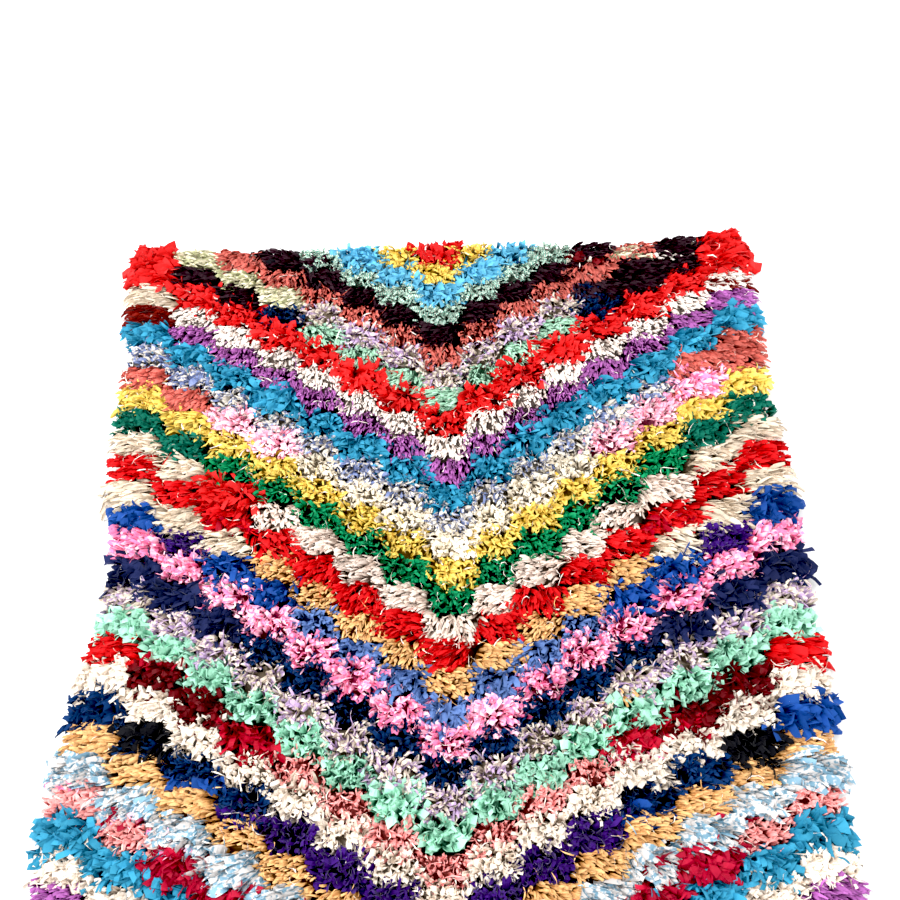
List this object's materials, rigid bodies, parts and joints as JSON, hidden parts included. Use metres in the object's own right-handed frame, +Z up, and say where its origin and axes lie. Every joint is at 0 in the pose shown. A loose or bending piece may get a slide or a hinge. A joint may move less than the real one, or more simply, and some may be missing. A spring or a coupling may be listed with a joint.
{
  "type": "boucherouite rug",
  "caption": "Oblong floor rug with a thick, lumpy pile of knotted rag strips in nested chevrons, lying flat.",
  "frame": {"origin": "middle of the rug's outline, on the floor it lies on", "axes": "+Y along the warp, from the near end to the far end; +Z up out of the pile"},
  "size_m": [1.268, 1.9688, 0.0375],
  "materials": {
    "rag_pile": "soft",
    "woven_ground": "woven"
  },
  "bodies": {
    "root": {"rug": "rag_pile"}
  },
  "joints": []
}
